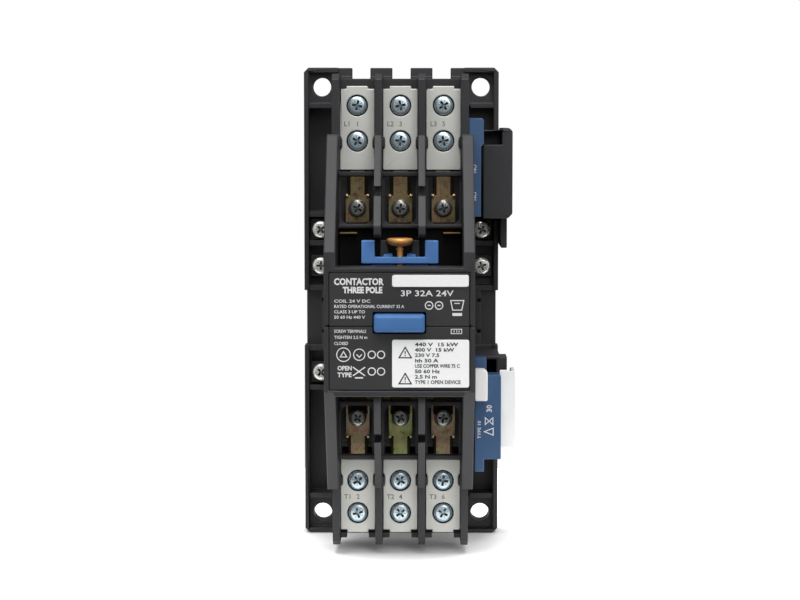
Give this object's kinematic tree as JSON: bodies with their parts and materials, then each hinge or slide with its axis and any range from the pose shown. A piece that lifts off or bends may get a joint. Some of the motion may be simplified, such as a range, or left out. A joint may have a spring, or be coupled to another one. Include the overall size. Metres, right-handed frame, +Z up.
{
  "type": "din rail contactor",
  "caption": "Tall contactor on a flanged mounting plate, with screw terminals above and below, a moving contact carrier, an auxiliary block and a side module.",
  "frame": {"origin": "centre of the four fixing holes, on the back face of the mounting plate", "axes": "+X to the right, +Z up towards the line terminals, the front faces -Y and the panel is at +Y"},
  "size_m": [0.0783, 0.0954, 0.1764],
  "materials": {
    "black_plastic": "fine moulded texture, glass-filled black plastic",
    "cover_plastic": "satin dark grey moulded plastic",
    "deep_black_plastic": "matt black arc-resistant plastic",
    "blue_plastic": "satin blue moulded plastic",
    "label_blue_plastic": "satin dark blue moulded plastic",
    "white_plastic": "satin white plastic",
    "label_film": "printed white label film",
    "plate_tin": "satin tin plated brass",
    "zinc_screw": "bright blue passivated zinc",
    "nickel_screw": "bright nickel plate",
    "yellow_zinc": "yellow passivated steel with colour bloom",
    "copper": "bright copper",
    "brass": "satin brass",
    "core_steel": "laminated steel with ground pole faces",
    "spring_steel": "bright spring wire",
    "coil_plastic": "natural glass-filled nylon",
    "coil_wire": "enamelled copper wire under varnish",
    "rubber": "matt black rubber"
  },
  "bodies": {
    "housing": {"base_plate": "black_plastic", "rail_latch_spring": "spring_steel", "magnet_housing": "black_plastic", "core_cushion": "rubber", "fixed_core": "core_steel", "shading_rings": "copper", "coil_bobbin": "coil_plastic", "coil_winding": "coil_wire", "coil_terminals": "brass", "return_springs": "spring_steel", "contact_housing": "black_plastic", "arc_covers": "deep_black_plastic", "arc_plates": "copper", "front_cover": "cover_plastic", "upper_panel": "cover_plastic", "lower_panel": "cover_plastic", "marker_strip": "label_film", "rating_label": "label_film", "terminal_screws": "zinc_screw", "strap_screws": "zinc_screw", "body_screws": "nickel_screw", "wire_clamps": "zinc_screw", "aux_housing": "black_plastic", "aux_contacts": "brass", "side_label": "label_blue_plastic", "module_housing": "black_plastic", "module_cover": "label_blue_plastic", "module_tab": "white_plastic", "module_marker": "white_plastic", "line_contact_1": "copper", "line_plate_1": "plate_tin", "line_strap_1": "yellow_zinc", "load_contact_1": "copper", "load_plate_1": "plate_tin", "load_strap_1": "yellow_zinc", "line_contact_2": "copper", "line_plate_2": "plate_tin", "line_strap_2": "yellow_zinc", "load_contact_2": "copper", "load_plate_2": "plate_tin", "load_strap_2": "yellow_zinc", "line_contact_3": "copper", "line_plate_3": "plate_tin", "line_strap_3": "yellow_zinc", "load_contact_3": "copper", "load_plate_3": "plate_tin", "load_strap_3": "yellow_zinc"},
    "carrier": {"contact_carrier": "deep_black_plastic", "carrier_yoke": "blue_plastic", "guide_pin": "copper", "position_indicator": "blue_plastic", "armature": "core_steel", "armature_pin": "spring_steel", "contact_springs": "spring_steel"},
    "bridges": {"contact_bridge_1": "copper", "contact_bridge_2": "copper", "contact_bridge_3": "copper"},
    "rail_latch": {"rail_latch": "core_steel"},
    "aux_slider": {"aux_slider": "blue_plastic"}
  },
  "joints": [
    {"name": "carrier_slide", "type": "slide", "parent": "housing", "child": "carrier", "axis": [0, 1, 0], "range_m": [0, 0.0055], "stiffness_N_per_m": 700, "springref_m": -0.004, "deforming": ["return_springs"]},
    {"name": "bridge_slide", "type": "slide", "parent": "carrier", "child": "bridges", "axis": [0, 1, 0], "range_m": [-0.00191, 0], "deforming": ["contact_springs"]},
    {"name": "latch_slide", "type": "slide", "parent": "housing", "child": "rail_latch", "axis": [0, 0, -1], "range_m": [0, 0.004], "stiffness_N_per_m": 900, "springref_m": -0.002, "deforming": ["rail_latch_spring"]},
    {"name": "aux_slide", "type": "slide", "parent": "housing", "child": "aux_slider", "axis": [0, 1, 0], "range_m": [0, 0.0055]}
  ],
  "couplings": [
    {"joint": "bridge_slide", "follows": "carrier_slide", "ratio": -0.34545},
    {"joint": "aux_slide", "follows": "carrier_slide", "ratio": 1}
  ]
}
